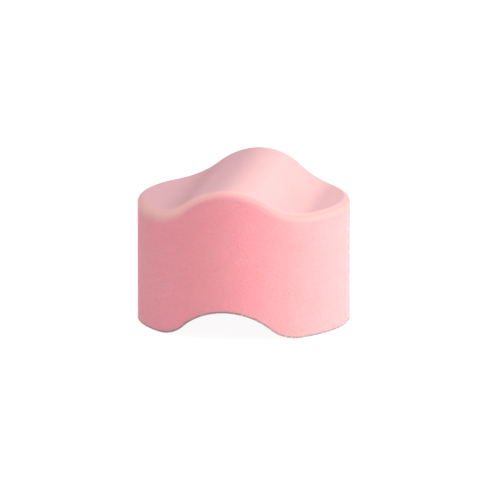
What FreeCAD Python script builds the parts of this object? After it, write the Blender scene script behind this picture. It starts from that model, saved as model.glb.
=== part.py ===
"""Contoured round nail buffer block, drawn as the laminate that the real block is.

Frame: millimetres, +Z up, +Y along the crown and the arch, origin in the middle of the plane
that the two feet stand on.

Every face between two layers follows a wave line: a flat shoulder, a concave blend, a convex
crown or arch roof, a blend and a shoulder. The layers are concentric, so the wave line at a
depth inside the block has the same arc centres as the outer one, and radii changed by the depth.
"""
import FreeCAD, Part
import math
import os

import Sketcher

# Driving dimensions: alias, value in millimetres, meaning.
DIMENSIONS = [
    ("diameter", 45.0, "plan diameter of the block"),
    ("shoulder_height", 26.4, "floor to the flat shoulders of the upper face"),
    ("crown_rise", 5.8, "shoulders to the top of the crown"),
    ("crown_radius", 14.4, "convex radius of the crown"),
    ("crown_blend", 13.4, "concave radius between crown and shoulder"),
    ("arch_rise", 6.0, "floor to the roof of the arch"),
    ("arch_radius", 13.7, "radius of the arch roof"),
    ("foot_blend", 8.6, "convex radius between arch and foot"),
    ("upper_coat", 0.15, "thickness of the upper grit coat"),
    ("buffing_pad", 1.6, "thickness of the buffing pad"),
    ("glue_film", 0.15, "thickness of both adhesive films"),
    ("film_inset", 0.4, "how far the films stop short of the wall"),
    ("backing_cloth", 0.2, "thickness of the backing cloth"),
    ("lower_coat", 0.25, "thickness of the lower grit coat"),
    ("rim_round", 1.4, "rounding of the coated upper rim"),
    ("foot_round", 0.15, "rounding of the lower coat's outer edge"),
    ("cut_margin", 5.0, "how far the cutting sketches run past the block"),
]

# Depths of the faces between the layers, under the upper face or over the lower face.
COAT_DEPTH = "Sizes.upper_coat"
PAD_DEPTH = f"{COAT_DEPTH} + Sizes.buffing_pad"
UPPER_FILM_DEPTH = f"{PAD_DEPTH} + Sizes.glue_film"
GRIT_DEPTH = "Sizes.lower_coat"
CLOTH_DEPTH = f"{GRIT_DEPTH} + Sizes.backing_cloth"
LOWER_FILM_DEPTH = f"{CLOTH_DEPTH} + Sizes.glue_film"

# Plan radii. The upper coat wraps round the pad's rim, and no glue reaches the wall.
OUTER_RADIUS = "Sizes.diameter / 2"
PAD_RADIUS = "Sizes.diameter / 2 - Sizes.upper_coat"
FILM_RADIUS = "Sizes.diameter / 2 - Sizes.film_inset"

# Rows of the table below name a face as the wave family and the depth in it.
UPPER, LOWER = "upper", "lower"

# Node, plan radius, the face above and the face below, from the pad down to the feet.
LAYERS = [
    ("upper_buffing_pad", PAD_RADIUS, (UPPER, COAT_DEPTH), (UPPER, PAD_DEPTH)),
    ("upper_adhesive_film", FILM_RADIUS, (UPPER, PAD_DEPTH), (UPPER, UPPER_FILM_DEPTH)),
    ("foam_core", OUTER_RADIUS, (UPPER, UPPER_FILM_DEPTH), (LOWER, LOWER_FILM_DEPTH)),
    ("lower_adhesive_film", FILM_RADIUS, (LOWER, LOWER_FILM_DEPTH), (LOWER, CLOTH_DEPTH)),
    ("lower_backing_cloth", OUTER_RADIUS, (LOWER, CLOTH_DEPTH), (LOWER, GRIT_DEPTH)),
    ("lower_grit_coat", OUTER_RADIUS, (LOWER, GRIT_DEPTH), (LOWER, "0")),
]

# Sketcher's numbers for the ends of a line or arc, for the origin and for the vertical axis.
START, END, CENTRE = 1, 2, 3
ORIGIN, VERTICAL_AXIS = -1, -2

UP, DOWN = 1, -1  # the way a layer's face looks
LEAST_CUT = 0.1  # cubic millimetres that a real cut or rounding takes off
SAME_PLACE = 1e-4  # millimetres


def make_sheet(doc):
    """Spreadsheet of the driving dimensions."""
    sheet = doc.addObject("Spreadsheet::Sheet", "Sizes")
    for row, (alias, value, meaning) in enumerate(DIMENSIONS, start=1):
        sheet.set(f"A{row}", meaning)
        sheet.set(f"B{row}", str(value))
        sheet.setAlias(f"B{row}", alias)
    doc.recompute()
    return sheet


def number(sheet, expression):
    """Value of a spreadsheet expression."""
    return float(sheet.evalExpression(expression))


class WaveLine:
    """Expressions for the wave line at one depth of the upper or the lower family."""

    def __init__(self, family, depth):
        if family == UPPER:
            self.flat = f"Sizes.shoulder_height - ({depth})"
            self.convex = f"Sizes.crown_radius - ({depth})"
            self.concave = f"Sizes.crown_blend + ({depth})"
            self.centre = "Sizes.shoulder_height + Sizes.crown_rise - Sizes.crown_radius"
        else:
            self.flat = depth
            self.convex = f"Sizes.arch_radius + ({depth})"
            self.concave = f"Sizes.foot_blend - ({depth})"
            self.centre = "Sizes.arch_rise - Sizes.arch_radius"


def new_sketch(body, name, role):
    """Empty sketch on one of the body's own origin planes."""
    plane = next(item for item in body.Origin.OriginFeatures if item.Role == role)
    sketch = body.newObject("Sketcher::SketchObject", name)
    sketch.AttachmentSupport = [(plane, "")]
    sketch.MapMode = "FlatFace"
    return sketch


def drive(sketch, name, expression, kind, *places):
    """Add a dimension to a sketch and bind it to the spreadsheet."""
    value = number(sketch.Document.Sizes, expression)
    index = sketch.addConstraint(Sketcher.Constraint(kind, *places, value))
    sketch.renameConstraint(index, name)
    sketch.setExpression(f"Constraints.{name}", expression)


def plan_sketch(body, radius):
    """Plan circle of one layer."""
    sketch = new_sketch(body, f"{body.Label}_plan", "XY_Plane")
    middle = FreeCAD.Vector(0, 0, 0)
    up = FreeCAD.Vector(0, 0, 1)
    sketch.addGeometry(Part.Circle(middle, up, number(body.Document.Sizes, radius)))
    sketch.addConstraint(Sketcher.Constraint("Coincident", 0, CENTRE, ORIGIN, START))
    drive(sketch, "plan_radius", radius, "Radius", 0)
    return sketch


def wave_sketch(body, name, wave, limit):
    """Region between a wave line and a straight limit above or below it."""
    sketch = new_sketch(body, name, "XZ_Plane")
    sheet = body.Document.Sizes
    wide_expression = "Sizes.diameter / 2 + Sizes.cut_margin"
    flat = number(sheet, wave.flat)
    convex = number(sheet, wave.convex)
    concave = number(sheet, wave.concave)
    centre = number(sheet, wave.centre)
    far_height = number(sheet, limit)
    wide = number(sheet, wide_expression)
    rise = flat + concave - centre
    half = math.sqrt((convex + concave) ** 2 - rise ** 2)
    lean = math.atan2(rise, half)
    quarter = math.pi / 2

    def point(x, z):
        return FreeCAD.Vector(x, z, 0)

    def arc(x, z, radius, first, last):
        return Part.ArcOfCircle(Part.Circle(point(x, z), FreeCAD.Vector(0, 0, 1), radius), first, last)

    left_flat, left_blend, crown, right_blend, right_flat, right_side, far, left_side = range(8)
    sketch.addGeometry([
        Part.LineSegment(point(-wide, flat), point(-half, flat)),
        arc(-half, flat + concave, concave, -quarter, -lean),
        arc(0, centre, convex, lean, 2 * quarter - lean),
        arc(half, flat + concave, concave, 2 * quarter + lean, 3 * quarter),
        Part.LineSegment(point(half, flat), point(wide, flat)),
        Part.LineSegment(point(wide, flat), point(wide, far_height)),
        Part.LineSegment(point(wide, far_height), point(-wide, far_height)),
        Part.LineSegment(point(-wide, far_height), point(-wide, flat)),
    ])
    for constraint in [
        ("Tangent", left_flat, END, left_blend, START),
        ("Tangent", left_blend, END, crown, END),
        ("Tangent", crown, START, right_blend, START),
        ("Tangent", right_blend, END, right_flat, START),
        ("Coincident", right_flat, END, right_side, START),
        ("Coincident", right_side, END, far, START),
        ("Coincident", far, END, left_side, START),
        ("Coincident", left_side, END, left_flat, START),
        ("Horizontal", left_flat),
        ("Horizontal", right_flat),
        ("Horizontal", far),
        ("Vertical", right_side),
        ("Vertical", left_side),
        ("Equal", left_blend, right_blend),
        ("PointOnObject", crown, CENTRE, VERTICAL_AXIS),
        ("Symmetric", right_flat, END, left_flat, START, VERTICAL_AXIS),
    ]:
        sketch.addConstraint(Sketcher.Constraint(*constraint))
    drive(sketch, "convex_radius", wave.convex, "Radius", crown)
    drive(sketch, "concave_radius", wave.concave, "Radius", left_blend)
    drive(sketch, "half_width", wide_expression, "DistanceX", ORIGIN, START, far, START)
    drive(sketch, "limit_height", limit, "DistanceY", ORIGIN, START, far, START)
    drive(sketch, "centre_height", wave.centre, "DistanceY", ORIGIN, START, crown, CENTRE)
    drive(sketch, "flat_to_limit", f"({limit}) - ({wave.flat})", "DistanceY",
          right_side, START, right_side, END)
    return sketch


def cut(body, name, wave, limit):
    """Cut a layer along a wave line, and check that the cut took something off."""
    before = body.Tip.Shape.Volume
    sketch = wave_sketch(body, f"{name}_line", wave, limit)
    pocket = body.newObject("PartDesign::Pocket", f"{name}_cut")
    pocket.Profile = sketch
    pocket.Type = "ThroughAll"
    pocket.SideType = "Symmetric"
    body.Document.recompute()
    if pocket.Shape.Volume > before - LEAST_CUT:
        raise RuntimeError(f"{name} took nothing off")


def make_layer(doc, node, radius, face_above, face_below):
    """One layer of the laminate: a disc cut along the wave lines above and below it."""
    body = doc.addObject("PartDesign::Body", node)
    body.Label = node
    sketch = plan_sketch(body, radius)
    disc = body.newObject("PartDesign::Pad", f"{node}_disc")
    disc.Profile = sketch
    disc.setExpression("Length", "Sizes.shoulder_height + Sizes.crown_rise")
    doc.recompute()
    ceiling = "Sizes.shoulder_height + Sizes.crown_rise + Sizes.cut_margin"
    cut(body, f"{node}_upper", WaveLine(*face_above), ceiling)
    cut(body, f"{node}_lower", WaveLine(*face_below), "-Sizes.cut_margin")
    return body


def edge_name(shape, wanted):
    """The name by which a feature refers to one edge of a shape."""
    return next(f"Edge{index}" for index, edge in enumerate(shape.Edges, start=1) if edge.isSame(wanted))


def rim_edges(shape, side):
    """Names of the wall edges of the faces that look up (side UP) or down (side DOWN)."""
    radius = shape.BoundBox.XMax
    names = []
    for face in shape.Faces:
        first_u, last_u, first_v, last_v = face.ParameterRange
        normal = face.normalAt((first_u + last_u) / 2, (first_v + last_v) / 2)
        if normal.z * side < SAME_PLACE:
            continue
        for edge in face.Edges:
            middle = edge.valueAt((edge.FirstParameter + edge.LastParameter) / 2)
            if abs(math.hypot(middle.x, middle.y) - radius) < SAME_PLACE:
                names.append(edge_name(shape, edge))
    return names


def round_rim(body, side, radius):
    """Round the whole upper or lower outer edge of a layer."""
    base = body.Tip
    before = base.Shape.Volume
    fillet = body.newObject("PartDesign::Fillet", f"{body.Label}_rim")
    fillet.Base = (base, rim_edges(base.Shape, side))
    fillet.setExpression("Radius", radius)
    body.Document.recompute()
    if fillet.Shape.Volume > before - LEAST_CUT:
        raise RuntimeError(f"{body.Label} kept its sharp rim")


def make_upper_coat(doc, pad):
    """The upper coat: a cap as large as the block with the pad taken out of its underside."""
    cap = make_layer(doc, "upper_coat_cap", OUTER_RADIUS, (UPPER, "0"), (UPPER, PAD_DEPTH))
    round_rim(cap, UP, "Sizes.rim_round")
    coat = doc.addObject("Part::Cut", "upper_grit_coat")
    coat.Base = cap
    coat.Tool = pad
    coat.Label = "upper_grit_coat"
    doc.recompute()
    return coat


def check(doc, pieces):
    """Stop unless every feature computed, every sketch is solved and every layer is one valid solid."""
    for item in doc.Objects:
        if "Invalid" in item.State or "Error" in item.State:
            raise RuntimeError(f"{item.Label} is {item.State}")
        if item.TypeId == "Sketcher::SketchObject" and (item.solve() or not item.FullyConstrained):
            raise RuntimeError(f"{item.Label} isn't fully constrained")
    for piece in pieces:
        shape = piece.Shape
        if shape.isNull() or not shape.isValid() or len(shape.Solids) != 1:
            raise RuntimeError(f"{piece.Label} isn't one valid solid")


def main():
    doc = FreeCAD.newDocument("nail_buffer_block")
    make_sheet(doc)
    pieces = {node: make_layer(doc, node, *layer) for node, *layer in LAYERS}
    round_rim(pieces["upper_buffing_pad"], UP, "Sizes.rim_round - Sizes.upper_coat")
    round_rim(pieces["lower_grit_coat"], DOWN, "Sizes.foot_round")
    pieces["upper_grit_coat"] = make_upper_coat(doc, pieces["upper_buffing_pad"])
    doc.recompute()
    check(doc, pieces.values())
    os.makedirs("parts", exist_ok=True)
    for node, piece in pieces.items():
        piece.Shape.exportStep(f"parts/{node}.step")
        print(f"{node}: {piece.Shape.Volume:.1f} cubic millimetres")


main()
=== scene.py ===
"""Looks of the round contoured nail buffer block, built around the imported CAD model.

A pink foam core, a paler grit coat that wraps the crowned face and its rim over a softer pad, and a
cloth-backed coarse grit coat on the arched face. Lengths are metres in the frame of the model: +Z up,
+Y along the crown and the arch.
"""
import math

import bpy
import numpy as np
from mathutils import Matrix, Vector


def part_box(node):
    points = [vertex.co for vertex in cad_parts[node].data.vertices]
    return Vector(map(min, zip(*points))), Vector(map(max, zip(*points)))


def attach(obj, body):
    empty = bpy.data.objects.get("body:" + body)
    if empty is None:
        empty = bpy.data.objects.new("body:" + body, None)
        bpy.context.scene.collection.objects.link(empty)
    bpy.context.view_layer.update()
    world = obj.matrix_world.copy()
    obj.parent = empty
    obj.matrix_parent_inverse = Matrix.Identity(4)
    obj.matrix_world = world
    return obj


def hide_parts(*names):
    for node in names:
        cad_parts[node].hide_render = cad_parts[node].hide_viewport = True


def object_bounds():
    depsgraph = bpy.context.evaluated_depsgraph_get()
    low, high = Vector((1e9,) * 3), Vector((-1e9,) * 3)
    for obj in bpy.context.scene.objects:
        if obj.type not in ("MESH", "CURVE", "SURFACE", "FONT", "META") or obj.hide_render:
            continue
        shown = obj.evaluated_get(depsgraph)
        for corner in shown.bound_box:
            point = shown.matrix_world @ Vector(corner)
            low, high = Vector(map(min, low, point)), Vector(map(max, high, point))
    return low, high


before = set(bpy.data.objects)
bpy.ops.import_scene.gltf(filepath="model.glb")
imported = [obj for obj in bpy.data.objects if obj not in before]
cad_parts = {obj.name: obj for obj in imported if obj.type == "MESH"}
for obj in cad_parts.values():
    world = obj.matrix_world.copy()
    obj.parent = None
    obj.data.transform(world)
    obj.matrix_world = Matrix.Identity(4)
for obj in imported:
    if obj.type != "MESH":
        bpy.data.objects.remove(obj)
CAD_LOW, CAD_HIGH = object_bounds()

MM = 0.001
SEED = 20

# The arcs of the outer wave lines and the rim, which the boxes of the CAD nodes don't give.
CROWN_RISE, CROWN_RADIUS, CROWN_BLEND = 5.8 * MM, 14.4 * MM, 13.4 * MM
ARCH_RISE, ARCH_RADIUS, FOOT_BLEND = 6.0 * MM, 13.7 * MM, 8.6 * MM
RIM_ROUND = 1.4 * MM


def low(node):
    """Lowest corner of a CAD node's box."""
    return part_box(node)[0]


def high(node):
    """Highest corner of a CAD node's box."""
    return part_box(node)[1]


# What the boxes give: radii, the height of the shoulders and the depths between the layers.
RADIUS = high("foam_core").x
PAD_RADIUS = high("upper_buffing_pad").x
COAT_THICKNESS = RADIUS - PAD_RADIUS
SHOULDER = high("upper_grit_coat").z - CROWN_RISE
PAD_BOTTOM = SHOULDER - low("upper_buffing_pad").z
CORE_TOP = SHOULDER - low("upper_adhesive_film").z
GRIT_TOP = low("lower_backing_cloth").z
CLOTH_TOP = low("lower_adhesive_film").z
CORE_BOTTOM = low("foam_core").z


# ---------------------------------------------------------------- shapes


class Wave:
    """A wave line: flat shoulders, concave blends and one convex crown or arch roof."""

    def __init__(self, flat, centre, convex, concave):
        self.flat, self.centre, self.convex, self.concave = flat, centre, convex, concave
        rise = flat + concave - centre
        self.half = math.sqrt((convex + concave) ** 2 - rise ** 2)
        self.turn = self.half * convex / (convex + concave)

    def slope(self, x):
        """Sine of the angle by which the line leans at a place."""
        across = np.abs(x)
        crown = across / self.convex
        blend = np.clip(self.half - across, 0, self.concave) / self.concave
        return np.where(across < self.turn, crown, blend)

    def height(self, x):
        """Height of the line over the floor at a place."""
        across = np.abs(x)
        crown = self.centre + np.sqrt(np.maximum(self.convex ** 2 - across ** 2, 0))
        reach = np.clip(self.half - across, 0, self.concave)
        blend = self.flat + self.concave - np.sqrt(self.concave ** 2 - reach ** 2)
        return np.where(across < self.turn, crown, blend)


def upper_wave(depth):
    """The wave line at a depth under the crowned face."""
    centre = SHOULDER + CROWN_RISE - CROWN_RADIUS
    return Wave(SHOULDER - depth, centre, CROWN_RADIUS - depth, CROWN_BLEND + depth)


def lower_wave(height):
    """The wave line at a height over the arched face."""
    return Wave(height, ARCH_RISE - ARCH_RADIUS, ARCH_RADIUS + height, FOOT_BLEND - height)


def disc_grid(cells, radius):
    """Points of a round grid with square cells, row by row, and its rim in order from -45 degrees."""
    steps = np.linspace(-1, 1, cells + 1)
    a, b = np.meshgrid(steps, steps, indexing="ij")
    wide = np.abs(a) > np.abs(b)
    reach = np.where(wide, a, b)
    share = np.where(wide, b, a) / np.where(reach == 0, 1, reach)
    angle = np.where(wide, share * math.pi / 4, math.pi / 2 - share * math.pi / 4)
    points = np.stack([reach * np.cos(angle), reach * np.sin(angle)], axis=-1) * radius
    index = np.arange((cells + 1) ** 2).reshape(cells + 1, cells + 1)
    rim = np.concatenate([index[-1, :-1], index[:0:-1, -1], index[0, :0:-1], index[:-1, 0]])
    return points.reshape(-1, 2), index, rim


def ring(count, radius):
    """Points of a circle in the order of a disc grid's rim."""
    angle = -math.pi / 4 + 2 * math.pi * np.arange(count) / count
    return np.stack([np.cos(angle), np.sin(angle)], axis=-1) * radius


def at_height(plan, height):
    """Points with a height each, from points of the plan."""
    return np.column_stack([plan, height])


def fade(value, start, end):
    """Smooth step from 0 at start to 1 at end."""
    share = np.clip((value - start) / (end - start), 0, 1)
    return share * share * (3 - 2 * share)


def closed_layer(name, top, bottom, rings, top_cells, bottom_cells):
    """A closed layer: a top disc, rings of points down its side, and a bottom disc.

    top and bottom are (radius, wave), and each ring is an array of points. Neighbouring rings, and the
    rims of the discs, may differ in their number of points by a whole factor.
    """
    top_plan, top_index, top_rim = disc_grid(top_cells, top[0])
    bottom_plan, bottom_index, bottom_rim = disc_grid(bottom_cells, bottom[0])
    blocks = [at_height(top_plan, top[1].height(top_plan[:, 0]))]
    starts = []
    count = len(top_plan)
    for points in rings:
        starts.append(count)
        blocks.append(points)
        count += len(points)
    blocks.append(at_height(bottom_plan, bottom[1].height(bottom_plan[:, 0])))
    loops = [start + np.arange(len(points)) for start, points in zip(starts, rings)]
    faces = grid_faces(top_index)
    faces += joined(top_rim, loops[0])
    for upper, lower in zip(loops, loops[1:]):
        faces += joined(upper, lower)
    faces += joined(loops[-1], bottom_rim + count)
    faces += [face[::-1] for face in grid_faces(bottom_index + count)]
    mesh = bpy.data.meshes.new(name)
    mesh.from_pydata(np.concatenate(blocks).tolist(), [], faces)
    mesh.update()
    piece = bpy.data.objects.new(name, mesh)
    bpy.context.scene.collection.objects.link(piece)
    return piece


def grid_faces(index):
    """The square faces of a disc grid, seen from above."""
    corners = [index[:-1, :-1], index[1:, :-1], index[1:, 1:], index[:-1, 1:]]
    return np.stack([corner.ravel() for corner in corners], axis=1).tolist()


def joined(upper, lower):
    """Faces between two rings, the first one above or inside the second when seen from above.

    Either ring may have fewer points than the other, by a whole factor.
    """
    fewer = min(len(upper), len(lower))
    up_step, down_step = len(upper) // fewer, len(lower) // fewer
    faces = []
    for k in range(fewer):
        above = [int(upper[i % len(upper)]) for i in range(k * up_step, (k + 1) * up_step + 1)]
        below = [int(lower[i % len(lower)]) for i in range(k * down_step, (k + 1) * down_step + 1)]
        faces.append([*below, *reversed(above)])
    return faces


def coordinates(piece):
    """The points of a piece as an array."""
    flat = np.empty(len(piece.data.vertices) * 3, np.float32)
    piece.data.vertices.foreach_get("co", flat)
    return flat.reshape(-1, 3).astype(float)


def normals(piece):
    """The outward unit vectors at the points of a piece."""
    flat = np.empty(len(piece.data.vertices) * 3, np.float32)
    piece.data.vertex_normals.foreach_get("vector", flat)
    return flat.reshape(-1, 3).astype(float)


def carve(piece, points, out, depth):
    """Sink every point of a piece below its smooth surface by a depth of its own."""
    sunk = points - out * depth[:, None]
    piece.data.vertices.foreach_set("co", sunk.astype(np.float32).ravel())
    piece.data.update()


def store(piece, name, values):
    """Keep one number per point for the materials."""
    layer = piece.data.attributes.new(name, "FLOAT", "POINT")
    layer.data.foreach_set("value", values.astype(np.float32))


# ---------------------------------------------------------------- relief

# The chance values repeat after this many cells each way.
TABLE = 32
chance = np.random.default_rng(SEED)
VALUES = chance.random((TABLE, TABLE, TABLE))
JITTER = chance.random((TABLE, TABLE, TABLE, 3))


def smooth_noise(points, size, shift=0.0):
    """Smooth noise from -1 to 1 with features of the given size.

    shift moves the pattern, so that two reliefs on one piece aren't alike.
    """
    place = points / size + shift
    base = np.floor(place).astype(int)
    part = place - base
    part = part * part * (3 - 2 * part)
    total = np.zeros(len(points))
    for corner in np.ndindex(2, 2, 2):
        cell = (base + corner) % TABLE
        weight = np.prod(np.where(corner, part, 1 - part), axis=1)
        total += weight * VALUES[cell[:, 0], cell[:, 1], cell[:, 2]]
    return total * 2 - 1


def from_centre(points, size, shift=0.0):
    """Distance to the nearest of scattered centres that lie about a size apart, as a share of it.

    shift moves the pattern, so that two pieces aren't alike.
    """
    place = points / size + shift
    base = np.floor(place).astype(int)
    nearest = np.full(len(points), np.inf)
    for step in np.ndindex(3, 3, 3):
        cell = base + np.array(step) - 1
        wrapped = cell % TABLE
        centre = cell + JITTER[wrapped[:, 0], wrapped[:, 1], wrapped[:, 2]]
        nearest = np.minimum(nearest, np.linalg.norm(centre - place, axis=1))
    return nearest


# Radius of a pit as a share of the distance between pits.
PIT_RADIUS = 0.55


def pits(points, size, shift=0.0):
    """1 in the middle of each pit, falling to 0 at its edge."""
    return np.clip(1 - from_centre(points, size, shift) / PIT_RADIUS, 0, 1)


def weave(along, across, pitch):
    """Height from 0 to 1 of a plain weave of round threads."""
    u, v = along / pitch, across / pitch
    over = 1 - 2 * ((np.floor(u) + np.floor(v)) % 2)
    warp = np.abs(np.sin(math.pi * u)) * (0.5 + 0.5 * over * np.abs(np.sin(math.pi * v)))
    weft = np.abs(np.sin(math.pi * v)) * (0.5 - 0.5 * over * np.abs(np.sin(math.pi * u)))
    return np.maximum(warp, weft)


# ---------------------------------------------------------------- materials

# Nearly all values of a noise node lie between these.
NOISE_LOW, NOISE_HIGH = 0.3, 0.7


class Shader:
    """A Principled material with short calls for its nodes."""

    def __init__(self, name, **constants):
        self.material = bpy.data.materials.new(name)
        self.material.use_nodes = True
        self.nodes = self.material.node_tree.nodes
        self.links = self.material.node_tree.links
        self.surface = self.nodes["Principled BSDF"]
        self.place = self.add("ShaderNodeTexCoord").outputs["Object"]
        for socket, value in constants.items():
            self.surface.inputs[socket.replace("_", " ")].default_value = value

    def add(self, kind, inputs=(), **settings):
        """A new node with its settings, and each input linked or filled in."""
        node = self.nodes.new(kind)
        for key, value in settings.items():
            setattr(node, key, value)
        for socket, value in dict(inputs).items():
            if isinstance(value, bpy.types.NodeSocket):
                self.links.new(value, node.inputs[socket])
            else:
                node.inputs[socket].default_value = value
        return node

    def noise(self, size, detail=2.0):
        """Noise from 0 to 1 with features of a size in metres."""
        inputs = {"Vector": self.place, "Scale": 1 / size, "Detail": detail}
        return self.add("ShaderNodeTexNoise", inputs).outputs["Fac"]

    def cells(self, size, output="Distance", feature="F1"):
        """Distance or chance colour of the nearest of cells of a size in metres."""
        inputs = {"Vector": self.place, "Scale": 1 / size}
        return self.add("ShaderNodeTexVoronoi", inputs, feature=feature).outputs[output]

    def per_grain(self, size):
        """A chance number from 0 to 1 for each grain of a size in metres."""
        return self.add("ShaderNodeSeparateColor", {"Color": self.cells(size, "Color")}).outputs[0]

    def stored(self, name):
        """A number kept per point of the mesh."""
        return self.add("ShaderNodeAttribute", attribute_name=name).outputs["Fac"]

    def span(self, value, low_in, high_in, low_out=0.0, high_out=1.0):
        """Carry a value over from one range to another, and hold it there."""
        inputs = {"Value": value, "From Min": low_in, "From Max": high_in,
                  "To Min": low_out, "To Max": high_out}
        return self.add("ShaderNodeMapRange", inputs).outputs["Result"]

    def spread(self, noise, low_out, high_out):
        """Carry a noise over to a range, stretched so that it reaches both ends."""
        return self.span(noise, NOISE_LOW, NOISE_HIGH, low_out, high_out)

    def math(self, operation, a, b):
        """Two numbers combined by an operation."""
        return self.add("ShaderNodeMath", {0: a, 1: b}, operation=operation).outputs[0]

    def mix(self, share, a, b):
        """Colour a, with a share of colour b."""
        # Inputs 6 and 7 and output 2 are the colour ones.
        node = self.add("ShaderNodeMix", {0: share, 6: a, 7: b}, data_type="RGBA")
        return node.outputs[2]

    def bump(self, height, depth, below=None):
        """Normals of a relief of a depth in metres, on top of other normals."""
        inputs = {"Height": height, "Distance": depth, "Strength": 1.0}
        if below is not None:
            inputs["Normal"] = below
        return self.add("ShaderNodeBump", inputs).outputs["Normal"]

    def facets(self, size, tilt):
        """Surface normals that lean by a chance amount in each grain of a size in metres."""
        lean = self.add("ShaderNodeVectorMath", {0: self.cells(size, "Color"), 1: (0.5, 0.5, 0.5)},
                        operation="SUBTRACT").outputs[0]
        lean = self.add("ShaderNodeVectorMath", {0: lean, "Scale": tilt}, operation="SCALE").outputs[0]
        plain = self.add("ShaderNodeNewGeometry").outputs["Normal"]
        leaning = self.add("ShaderNodeVectorMath", {0: lean, 1: plain}, operation="ADD").outputs[0]
        return self.add("ShaderNodeVectorMath", {0: leaning}, operation="NORMALIZE").outputs[0]

    def use(self, **sockets):
        """Link values to the surface's sockets, and give the finished material."""
        for socket, value in sockets.items():
            self.links.new(value, self.surface.inputs[socket.replace("_", " ")])
        return self.material


def colour(red, green, blue):
    """An opaque colour from linear shares of red, green and blue."""
    return (red, green, blue, 1.0)


# DEEP and PALE are the ends of a tone's range. The two RIM_SHADED tones are the band round the crowned
# face: the deeper one is painted shade on the +X side, towards the key light, and the paler one is
# painted light on the -X side.
FOAM = colour(0.80, 0.302, 0.350)
# The foam's deep tone is painted shade in its pits, cell hollows and pores.
FOAM_SHADE = colour(0.70, 0.23, 0.28)
FOAM_PALE = colour(0.84, 0.36, 0.41)
PAD = colour(0.84, 0.46, 0.48)
COAT = colour(0.71, 0.375, 0.425)
# The coat's pale tone is painted light where the face lies level, and painted sheen along the crest,
# where the grit is also worn.
COAT_LIT_AND_WORN = colour(0.80, 0.46, 0.50)
COAT_DEEP = colour(0.68, 0.34, 0.40)
RIM_SHADED = colour(0.71, 0.307, 0.310)
RIM_LIT = colour(0.83, 0.455, 0.44)
MINERAL = colour(0.95, 0.78, 0.78)
GRIT = colour(0.60, 0.37, 0.39)
GRIT_DEEP = colour(0.36, 0.18, 0.20)
# The pale grit tone marks pale grains, and is painted glint as well.
GRIT_PALE_AND_GLINT = colour(0.80, 0.62, 0.62)
# The resin's tone, also used as painted shade in the coarse coat's hollows.
RESIN_AND_SHADE = colour(0.26, 0.12, 0.14)
# The deep thread tone is painted shade between the threads.
THREAD_SHADE = colour(0.36, 0.17, 0.19)
THREAD = colour(0.54, 0.30, 0.32)
THREAD_PALE = colour(0.60, 0.38, 0.40)
GLUE_DEEP = colour(0.80, 0.45, 0.46)
GLUE_PALE = colour(0.86, 0.55, 0.55)
WHITE = colour(1.0, 1.0, 1.0)
FLOOR_GREY = colour(0.16, 0.16, 0.16)

# The foam's cells, the distance between its few open pores, and the grains of both coats.
CELL = 0.30 * MM
PORE = 1.3 * MM
FINE_GRAIN = 0.16 * MM
COARSE_GRAIN = 0.28 * MM


def foam_material():
    """Fine closed-cell foam: waxy and matte, with cut cells and slow, faint changes of tone."""
    foam = Shader("pink_foam", Subsurface_Weight=0.5, Subsurface_Scale=1.0 * MM,
                  Subsurface_Radius=(1.0, 0.5, 0.45), IOR=1.45, Specular_IOR_Level=0.12,
                  Sheen_Weight=0.02, Sheen_Roughness=0.5)
    slow = foam.spread(foam.noise(11 * MM), 0.0, 0.22)
    tone = foam.mix(slow, FOAM, FOAM_PALE)
    # The rim band reaches down the top of the wall: painted light on the -X side, painted shade on the
    # +X side, giving way to the foam's tone.
    rim = foam.mix(foam.stored("lit_side"), RIM_SHADED, RIM_LIT)
    tone = foam.mix(foam.stored("blush"), rim, tone)
    # Painted shade: darker in the carved pits, in the hollows of the cut cells and in the open pores.
    tone = foam.mix(foam.math("MULTIPLY", foam.stored("pit"), 0.16), tone, FOAM_SHADE)
    cell_wall = foam.span(foam.cells(CELL), 0.10, 0.60)
    tone = foam.mix(foam.span(cell_wall, 0.0, 1.0, 0.36, 0.0), tone, FOAM_SHADE)
    pore = foam.span(foam.cells(PORE), 0.05, 0.11, 0.30, 0.0)
    tone = foam.mix(pore, tone, FOAM_SHADE)
    rough = foam.spread(foam.noise(0.8 * MM), 0.52, 0.66)
    bump = foam.bump(cell_wall, 0.045 * MM)
    bump = foam.bump(foam.span(pore, 0.0, 0.3, 1.0, 0.0), 0.05 * MM, bump)
    bump = foam.bump(foam.noise(0.12 * MM), 0.010 * MM, bump)
    return foam.use(Base_Color=tone, Roughness=rough, Normal=bump)


def pad_material():
    """Softer, paler foam, hidden under the coat."""
    pad = Shader("pale_foam", IOR=1.45, Sheen_Weight=0.2, Sheen_Roughness=0.5, Specular_IOR_Level=0.3)
    tone = pad.mix(pad.spread(pad.noise(5 * MM, 3.0), 0.0, 0.3), PAD, FOAM_PALE)
    rough = pad.spread(pad.noise(0.6 * MM), 0.52, 0.66)
    return pad.use(Base_Color=tone, Roughness=rough, Normal=pad.bump(pad.cells(CELL), 0.025 * MM))


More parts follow.
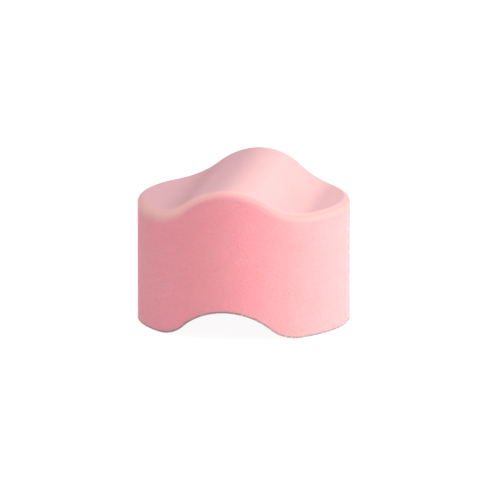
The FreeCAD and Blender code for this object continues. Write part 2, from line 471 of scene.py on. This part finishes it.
def fine_grit_material():
    """Fine mineral grains in pale pink resin, which takes the foam's tone towards its lower edge."""
    coat = Shader("fine_grit_coat", IOR=1.5, Sheen_Weight=0.03, Sheen_Roughness=0.5,
                  Specular_IOR_Level=0.14)
    light = coat.per_grain(FINE_GRAIN)
    # Paler where level and along the crest: painted light, with painted sheen and wear on the crest.
    tone = coat.mix(coat.stored("lit_and_worn"), COAT, COAT_LIT_AND_WORN)
    # The band over the rounded rim: painted light on the -X side, painted shade on the +X side, towards
    # the key light.
    rim = coat.mix(coat.stored("lit_side"), RIM_SHADED, RIM_LIT)
    tone = coat.mix(coat.stored("rim"), tone, rim)
    tone = coat.mix(coat.stored("blush"), tone, FOAM)
    tone = coat.mix(coat.span(light, 0.75, 1.0, 0.0, 0.07), tone, MINERAL)
    tone = coat.mix(coat.span(light, 0.0, 0.3, 0.25, 0.0), tone, COAT_DEEP)
    rough = coat.span(light, 0.0, 1.0, 0.42, 0.66)
    round_grains = coat.math("SUBTRACT", 1.0, coat.cells(FINE_GRAIN))
    bump = coat.bump(round_grains, 0.020 * MM, coat.facets(FINE_GRAIN, 0.12))
    return coat.use(Base_Color=tone, Roughness=rough, Normal=bump)


def coarse_grit_material():
    """Coarser angular grains, greyer than the foam, set in darker resin, with a few pale grains that
    are painted glints as well.
    """
    coat = Shader("coarse_grit_coat", IOR=1.6)
    light = coat.per_grain(COARSE_GRAIN)
    seam = coat.span(coat.cells(COARSE_GRAIN, feature="DISTANCE_TO_EDGE"), 0.0, 0.14, 1.0, 0.0)
    tone = coat.mix(light, GRIT_DEEP, GRIT)
    # A few pale grains, also painted bright as glints.
    tone = coat.mix(coat.span(light, 0.86, 0.90), tone, GRIT_PALE_AND_GLINT)
    tone = coat.mix(coat.math("MULTIPLY", seam, 0.6), tone, RESIN_AND_SHADE)
    # Painted shade: darker in the carved hollows between grains, in the resin's tone.
    tone = coat.mix(coat.math("MULTIPLY", coat.stored("hollow"), 0.4), tone, RESIN_AND_SHADE)
    rough = coat.span(light, 0.0, 1.0, 0.60, 0.25)
    height = coat.math("SUBTRACT", coat.math("MULTIPLY", light, 0.6), seam)
    bump = coat.bump(height, 0.05 * MM, coat.facets(COARSE_GRAIN, 0.7))
    return coat.use(Base_Color=tone, Roughness=rough, Normal=bump)


def cloth_material():
    """Woven cotton backing, soaked with resin."""
    cloth = Shader("backing_cloth", Sheen_Weight=0.12, Roughness=0.85)
    # Painted shade: darker between the threads, where the weave is carved lowest.
    tone = cloth.mix(cloth.stored("thread"), THREAD_SHADE, THREAD)
    tone = cloth.mix(cloth.spread(cloth.noise(0.5 * MM), 0.0, 0.3), tone, THREAD_PALE)
    return cloth.use(Base_Color=tone, Normal=cloth.bump(cloth.noise(0.08 * MM), 0.015 * MM))


def adhesive_material():
    """Clear pink film of dried adhesive."""
    film = Shader("adhesive_film", IOR=1.47)
    tone = film.mix(film.noise(2 * MM), GLUE_DEEP, GLUE_PALE)
    return film.use(Base_Color=tone, Roughness=film.spread(film.noise(1 * MM), 0.15, 0.3))


# ---------------------------------------------------------------- pieces


# Edges that turn by more than this stay sharp under smooth shading.
SHARP = math.radians(50)
# How far inside the wall a point may lie and still count as on it.
WALL_SLACK = 0.01 * MM


def finish_piece(piece, node, material):
    """Shade a piece, give it its material, attach it to the root body and hide the CAD node it stands
    for.
    """
    piece.data.shade_smooth()
    piece.data.set_sharp_from_angle(angle=SHARP)
    piece.data.materials.append(material)
    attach(piece, "root")
    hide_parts(node)


def side_rings(count, rows, top, bottom, radius=RADIUS):
    """Rings down a straight wall between two wave lines."""
    plan = ring(count, radius)
    upper = top.height(plan[:, 0])
    lower = bottom.height(plan[:, 0])
    shares = np.linspace(0, 1, rows + 1)
    return [at_height(plan, upper + (lower - upper) * share) for share in shares]


def rounded_rings(count, rows, wave, inner, outer, drop, side):
    """Rings over a rounded edge, from a face at radius inner to the wall at radius outer.

    side is 1 for an edge under the face and -1 for an edge over it. Where the face is level and the
    drop is as wide as the step between the radii, the edge is a quarter of a circle.
    """
    start = ring(count, inner)
    corner = ring(count, outer)
    first = at_height(start, wave.height(start[:, 0]))
    middle = at_height(corner, wave.height(corner[:, 0]))
    last = middle - [0, 0, side * drop]
    quarter_circle = math.sqrt(0.5)
    found = []
    for share in np.linspace(0, 1, rows + 1):
        weights = [(1 - share) ** 2, 2 * share * (1 - share) * quarter_circle, share ** 2]
        mixed = sum(weight * points for weight, points in zip(weights, (first, middle, last)))
        found.append(mixed / sum(weights))
    return found


def on_wall(points):
    """Whether each point lies on the straight wall."""
    return np.hypot(points[:, 0], points[:, 1]) > RADIUS - WALL_SLACK


def crown_share(points):
    """0 over the shoulders, 1 along the top of the crown."""
    return (upper_wave(0).height(points[:, 0]) - SHOULDER) / CROWN_RISE


def under_top(points):
    """How far below the outer wave line of the crowned face each point is."""
    return upper_wave(0).height(points[:, 0]) - points[:, 2]


def lit_side_share(points):
    """1 on the -X side, where the upper rim's band is painted light, 0 on the +X side, where it is
    painted shade.
    """
    start, end = -6 * MM, 8 * MM
    wander, wander_size = 2 * MM, 9 * MM
    across = points[:, 0] + wander * smooth_noise(points, wander_size, 3.0)
    return 1 - fade(across, start, end)


def foam_share(points):
    """How far the tone of the upper rim has given way to the foam's.

    The change starts lower down on the -X side, where the rim band is painted light, so that painted
    light reaches further down the wall there. Under the crown it starts higher and is shorter.
    """
    plain_start, lit_side_start = -0.1 * MM, 1.1 * MM
    shoulder_width, crown_width = 2.6 * MM, 1.4 * MM
    crown_pull = 0.72
    wander, wander_size = 0.15 * MM, 3 * MM
    crown = crown_share(points)
    side_start = plain_start + (lit_side_start - plain_start) * lit_side_share(points)
    start = side_start * (1 - crown_pull * crown)
    width = shoulder_width + (crown_width - shoulder_width) * crown
    drop = under_top(points) + wander * smooth_noise(points, wander_size, 5.0)
    return fade(drop, start, start + width)


def make_core():
    """The foam core; round the glue films its wall reaches the pad and the cloth."""
    cells, rows = 85, 115
    edge_width, pit_spacing = 0.5 * MM, 0.62 * MM
    pit_depth, swell_depth, swell_size = 0.02 * MM, 0.02 * MM, 7 * MM
    smooth_edge = 0.8 * MM
    top, bottom = upper_wave(CORE_TOP), lower_wave(CORE_BOTTOM)
    wall_top, wall_bottom = upper_wave(PAD_BOTTOM), lower_wave(CLOTH_TOP)
    rings = side_rings(8 * cells, rows, wall_top, wall_bottom)
    disc = RADIUS - edge_width
    core = closed_layer("foam_core_block", (disc, top), (disc, bottom), rings, cells, cells)
    points = coordinates(core)
    out = normals(core)
    pit = pits(points, pit_spacing)
    swell = (smooth_noise(points, swell_size) + 1) / 2
    from_top = wall_top.height(points[:, 0]) - points[:, 2]
    from_bottom = points[:, 2] - wall_bottom.height(points[:, 0])
    free = on_wall(points) * fade(np.minimum(from_top, from_bottom), 0.0, smooth_edge)
    carve(core, points, out, free * (pit * pit_depth + swell * swell_depth))
    store(core, "pit", pit * free)
    store(core, "lit_side", lit_side_share(points))
    store(core, "blush", foam_share(points))
    finish_piece(core, "foam_core", foam_material())


def make_pad():
    """The softer pad, covered by the coat and resting on the glue film."""
    top_cells, bottom_cells = 120, 60
    around = 4 * top_cells
    pit_spacing, pit_depth = 0.8 * MM, 0.03 * MM
    top_gap, bottom_gap = 0.3 * MM, 0.5 * MM
    top, bottom = upper_wave(COAT_THICKNESS), upper_wave(PAD_BOTTOM)
    inner = RADIUS - RIM_ROUND
    rings = rounded_rings(around, 10, top, inner, PAD_RADIUS, RIM_ROUND - COAT_THICKNESS, 1)
    rings += side_rings(around, 2, upper_wave(RIM_ROUND), bottom, PAD_RADIUS)[1:]
    pad = closed_layer("buffing_pad", (inner - top_gap, top), (PAD_RADIUS - bottom_gap, bottom),
                       rings, top_cells, bottom_cells)
    points = coordinates(pad)
    out = normals(pad)
    facing_up = out[:, 2] > 0.5
    carve(pad, points, out, facing_up * pits(points, pit_spacing, 7.0) * pit_depth)
    finish_piece(pad, "upper_buffing_pad", pad_material())


def make_fine_coat():
    """The upper coat: a thin cap whose skirt ends level with the pad's underside."""
    outer_cells, inner_cells = 260, 65
    grain_spacing, grain_depth = 0.3 * MM, 0.018 * MM
    outer_gap, inner_gap = 0.1 * MM, 0.4 * MM
    rim_start, rim_end = -0.10 * MM, 0.45 * MM
    inner = RADIUS - RIM_ROUND
    outside, inside = upper_wave(0), upper_wave(COAT_THICKNESS)
    wall_top, end = upper_wave(RIM_ROUND), upper_wave(PAD_BOTTOM)
    around = 4 * outer_cells
    rings = rounded_rings(around, 14, outside, inner, RADIUS, RIM_ROUND, 1)
    rings += side_rings(around, 3, wall_top, end)[1:]
    around = 4 * inner_cells
    lining = rounded_rings(around, 6, inside, inner, PAD_RADIUS, RIM_ROUND - COAT_THICKNESS, 1)[:-1]
    lining += side_rings(around, 1, wall_top, end, PAD_RADIUS)
    rings += lining[::-1]
    coat = closed_layer("fine_grit_coat", (inner - outer_gap, outside), (inner - inner_gap, inside),
                        rings, outer_cells, inner_cells)
    points = coordinates(coat)
    out = normals(coat)
    facing_up = fade(out[:, 2], 0.2, 0.9)
    hollow = np.clip(from_centre(points, grain_spacing, 11.0), 0, 1)
    carve(coat, points, out, facing_up * hollow * grain_depth)
    store(coat, "rim", fade(under_top(points), rim_start, rim_end))
    store(coat, "lit_side", lit_side_share(points))
    store(coat, "blush", foam_share(points))
    # Painted light: the crowned face is paler where it lies level and along the crest, and deeper on
    # its slopes as painted shade. Along the crest the paleness is painted sheen and also wear.
    lean = outside.slope(points[:, 0]) + 0.08 * smooth_noise(points, 6 * MM)
    lit_level = 1 - fade(lean, 0.1, 0.6)
    crest_lit_and_worn = 0.8 * fade(crown_share(points), 0.5, 0.9)
    store(coat, "lit_and_worn", np.maximum(lit_level, crest_lit_and_worn))
    finish_piece(coat, "upper_grit_coat", fine_grit_material())


def arc_length(wave):
    """Places across the block and how far along a wave line each of them is."""
    across = np.linspace(-RADIUS, RADIUS, 2001)
    steps = np.hypot(np.diff(across), np.diff(wave.height(across)))
    return across, np.concatenate([[0], np.cumsum(steps)])


def make_cloth():
    """The woven backing, bent into the arch; the ends of its threads show at the wall."""
    top_cells, bottom_cells = 216, 108
    pitch, face_depth, edge_depth = 0.8 * MM, 0.05 * MM, 0.04 * MM
    top_gap, bottom_gap = 0.2 * MM, 0.4 * MM
    top, bottom = lower_wave(CLOTH_TOP), lower_wave(GRIT_TOP)
    rings = side_rings(4 * top_cells, 3, top, bottom)
    cloth = closed_layer("backing_cloth_sheet", (RADIUS - top_gap, top), (RADIUS - bottom_gap, bottom),
                         rings, top_cells, bottom_cells)
    points = coordinates(cloth)
    out = normals(cloth)
    across, length = arc_length(lower_wave((CLOTH_TOP + GRIT_TOP) / 2))
    thread = weave(np.interp(points[:, 0], across, length), points[:, 1], pitch)
    wall = on_wall(points)
    woven = wall | (out[:, 2] > 0.5)
    carve(cloth, points, out, woven * (1 - thread) * np.where(wall, edge_depth, face_depth))
    store(cloth, "thread", thread)
    finish_piece(cloth, "lower_backing_cloth", cloth_material())


def make_coarse_coat():
    """The lower coat: angular grains over the arch and both feet."""
    top_cells, bottom_cells = 55, 220
    around = 4 * bottom_cells
    edge, top_gap = 0.12 * MM, 0.4 * MM
    grain_spacing, grain_depth, scatter = 0.45 * MM, 0.06 * MM, 0.35
    top, bottom = lower_wave(GRIT_TOP), lower_wave(0)
    rings = side_rings(around, 1, top, lower_wave(edge))
    rings += rounded_rings(around, 3, bottom, RADIUS - edge, RADIUS, edge, -1)[::-1][1:]
    coat = closed_layer("coarse_grit_coat", (RADIUS - top_gap, top), (RADIUS - 2 * edge, bottom),
                        rings, top_cells, bottom_cells)
    points = coordinates(coat)
    out = normals(coat)
    facing_down = np.clip(-out[:, 2], 0, 1)
    hollow = np.clip(from_centre(points, grain_spacing, 5.0), 0, 1)
    rough_hollow = hollow + scatter * chance.random(len(points))
    carve(coat, points, out, facing_down * rough_hollow * grain_depth)
    store(coat, "hollow", hollow)
    finish_piece(coat, "lower_grit_coat", coarse_grit_material())


def dress_films():
    """Give the material of dried adhesive to the two films, which stay the CAD solids."""
    material = adhesive_material()
    for node in ("upper_adhesive_film", "lower_adhesive_film"):
        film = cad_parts[node]
        film.data.materials.clear()
        film.data.materials.append(material)


# ---------------------------------------------------------------- studio


# The camera: its azimuth from the front and its elevation in degrees, its distance, how wide its view
# is at the object, and how far beside and over the middle of the wall it aims. The sensor's width is in
# millimetres, as Blender has it.
CAMERA_AZIMUTH, CAMERA_ELEVATION = 10.1, 13.2
CAMERA_DISTANCE = 1.7
VIEW_WIDTH = 101.8 * MM
AIM_RIGHT, AIM_UP = -0.8 * MM, 3.4 * MM
SENSOR = 36.0
CLIP_START, CLIP_END = 0.1, 50.0

# How far the floor reaches each way, and the height of the wall round it, which fills the lower part of
# a level camera's view.
FLOOR_REACH, FLOOR_WALL = 2.2, 0.12
FLOOR_GLOW = 0.90

# The surround is brightest at this azimuth from the camera and darkest opposite.
BRIGHT_SIDE = 40
SURROUND_DARK, SURROUND_BRIGHT = 0.17, 0.75

# Soft boxes: name, azimuth from the camera and elevation in degrees, width, height, watts, tint.
LIGHTS = [
    ("key_light", 77, 7, 1.6, 0.40, 54.0, (0.84, 0.98, 0.75)),
    ("top_light", 0, 82, 1.2, 1.2, 22.8, (1.0, 1.0, 0.98)),
    ("fill_light", 8, 14, 0.8, 0.8, 3.6, (0.9, 1.0, 1.0)),
]
LIGHT_DISTANCE = 2.0


def make_floor():
    """A floor that glows white, so that the shadow on it is faint."""
    plan = [(-1, -1), (1, -1), (1, 1), (-1, 1)]
    corners = [(x * FLOOR_REACH, y * FLOOR_REACH, z) for z in (0, FLOOR_WALL) for x, y in plan]
    sides = [(k, (k + 1) % 4, (k + 1) % 4 + 4, k + 4) for k in range(4)]
    mesh = bpy.data.meshes.new("studio_floor")
    mesh.from_pydata(corners, [], [(0, 1, 2, 3), *sides])
    floor = bpy.data.objects.new("studio_floor", mesh)
    bpy.context.scene.collection.objects.link(floor)
    white = Shader("lit_white_floor", Base_Color=FLOOR_GREY, Roughness=1.0, Specular_IOR_Level=0.0,
                   Emission_Color=WHITE, Emission_Strength=FLOOR_GLOW)
    mesh.materials.append(white.material)


def toward(azimuth, elevation):
    """Unit vector from the object, azimuth counted from the front and elevation from the floor."""
    a, e = math.radians(azimuth), math.radians(elevation)
    return Vector((math.sin(a) * math.cos(e), -math.cos(a) * math.cos(e), math.sin(e)))


def place(name, data, target, direction, distance):
    """Put a light or camera at a distance from a target, looking back at it."""
    item = bpy.data.objects.new(name, data)
    item.rotation_mode = "QUATERNION"
    item.rotation_quaternion = direction.to_track_quat("Z", "Y")
    item.location = target + direction * distance
    bpy.context.scene.collection.objects.link(item)
    return item


def make_light(name, azimuth, elevation, width, height, power, tint):
    """A soft box at an azimuth from the camera and an elevation from the floor."""
    data = bpy.data.lights.new(name, "AREA")
    data.shape = "RECTANGLE"
    data.size, data.size_y = width, height
    data.energy = power
    data.color = tint
    middle = (CAD_LOW + CAD_HIGH) / 2
    place(name, data, middle, toward(CAMERA_AZIMUTH + azimuth, elevation), LIGHT_DISTANCE)


def make_world():
    """A white surround, brighter on one side."""
    world = bpy.data.worlds.new("soft_surround")
    world.use_nodes = True
    nodes, links = world.node_tree.nodes, world.node_tree.links
    direction = nodes.new("ShaderNodeTexCoord")
    facing = nodes.new("ShaderNodeVectorMath")
    facing.operation = "DOT_PRODUCT"
    facing.inputs[1].default_value = toward(CAMERA_AZIMUTH + BRIGHT_SIDE, 0)
    strength = nodes.new("ShaderNodeMapRange")
    strength.inputs["From Min"].default_value = -1.0
    strength.inputs["To Min"].default_value = SURROUND_DARK
    strength.inputs["To Max"].default_value = SURROUND_BRIGHT
    links.new(direction.outputs["Generated"], facing.inputs[0])
    links.new(facing.outputs["Value"], strength.inputs["Value"])
    links.new(strength.outputs["Result"], nodes["Background"].inputs["Strength"])
    nodes["Background"].inputs["Color"].default_value = WHITE
    bpy.context.scene.world = world


def make_camera():
    """A long lens from the front, a little to the right of the crown's axis and above the top."""
    data = bpy.data.cameras.new("camera")
    data.sensor_width = SENSOR
    data.lens = SENSOR * CAMERA_DISTANCE / VIEW_WIDTH
    data.clip_start, data.clip_end = CLIP_START, CLIP_END
    direction = toward(CAMERA_AZIMUTH, CAMERA_ELEVATION)
    turn = direction.to_track_quat("Z", "Y")
    target = Vector((0, 0, SHOULDER / 2)) + turn @ Vector((AIM_RIGHT, AIM_UP, 0))
    bpy.context.scene.camera = place("camera", data, target, direction, CAMERA_DISTANCE)


make_core()
make_pad()
make_fine_coat()
make_cloth()
make_coarse_coat()
dress_films()
make_floor()
make_world()
for light in LIGHTS:
    make_light(*light)
make_camera()
bpy.context.scene.view_settings.view_transform = "Standard"
